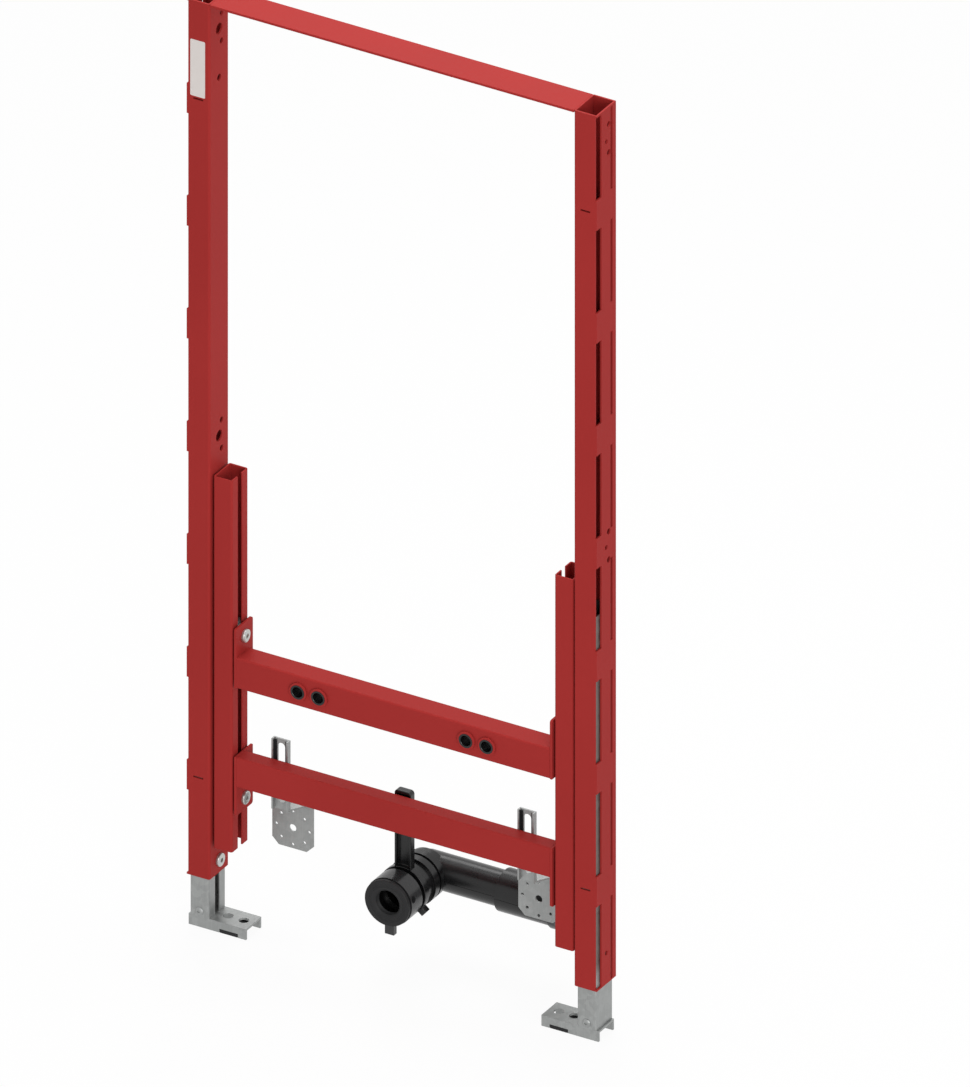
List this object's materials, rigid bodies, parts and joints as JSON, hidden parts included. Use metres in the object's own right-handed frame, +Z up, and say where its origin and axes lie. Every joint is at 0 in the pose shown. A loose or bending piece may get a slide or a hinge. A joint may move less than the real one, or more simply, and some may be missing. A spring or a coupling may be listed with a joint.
{
  "type": "bidet installation frame",
  "caption": "Free-standing steel in-wall frame for a wall-hung bidet: posts on telescopic feet, height-set traverses for fixing rods, water plates and a waste elbow.",
  "frame": {"origin": "on the floor, under the middle of the object's bounding box", "axes": "+Z up, +X to the right seen from the front, +Y to the back; the bidet hangs on the -Y side"},
  "size_m": [0.5, 0.116, 1.12],
  "materials": {
    "red_powder_coat": "satin",
    "zinc_plated_steel": "satin",
    "black_plastic": "matte",
    "black_rubber": "matte"
  },
  "bodies": {
    "feet": {"left_foot_channel": "zinc_plated_steel", "right_foot_channel": "zinc_plated_steel", "left_foot_base": "zinc_plated_steel", "right_foot_base": "zinc_plated_steel"},
    "frame": {"left_post": "red_powder_coat", "right_post": "red_powder_coat", "top_bar": "red_powder_coat", "left_rail": "red_powder_coat", "right_rail": "red_powder_coat", "rail_spacers": "red_powder_coat", "foot_bolts": "zinc_plated_steel", "foot_nuts": "zinc_plated_steel"},
    "upper_traverse": {"upper_beam": "red_powder_coat", "upper_left_plate": "red_powder_coat", "upper_right_plate": "red_powder_coat", "upper_bolts": "zinc_plated_steel", "upper_nuts": "zinc_plated_steel", "rod_bushes": "red_powder_coat"},
    "lower_traverse": {"lower_beam": "red_powder_coat", "lower_left_plate": "red_powder_coat", "lower_right_plate": "red_powder_coat", "lower_bolts": "zinc_plated_steel", "lower_nuts": "zinc_plated_steel", "left_water_bracket": "zinc_plated_steel", "right_water_bracket": "zinc_plated_steel", "drain_elbow": "black_plastic", "drain_seal": "black_rubber", "drain_clamp": "black_plastic", "drain_holder": "black_plastic"}
  },
  "joints": [
    {"name": "frame_height", "type": "slide", "parent": "feet", "child": "frame", "axis": [0, 0, 1], "range_m": [-0.032, 0.15]},
    {"name": "upper_traverse_height", "type": "slide", "parent": "frame", "child": "upper_traverse", "axis": [0, 0, 1], "range_m": [-0.025, 0.15]},
    {"name": "lower_traverse_height", "type": "slide", "parent": "frame", "child": "lower_traverse", "axis": [0, 0, 1], "range_m": [-0.02, 0.025]}
  ]
}
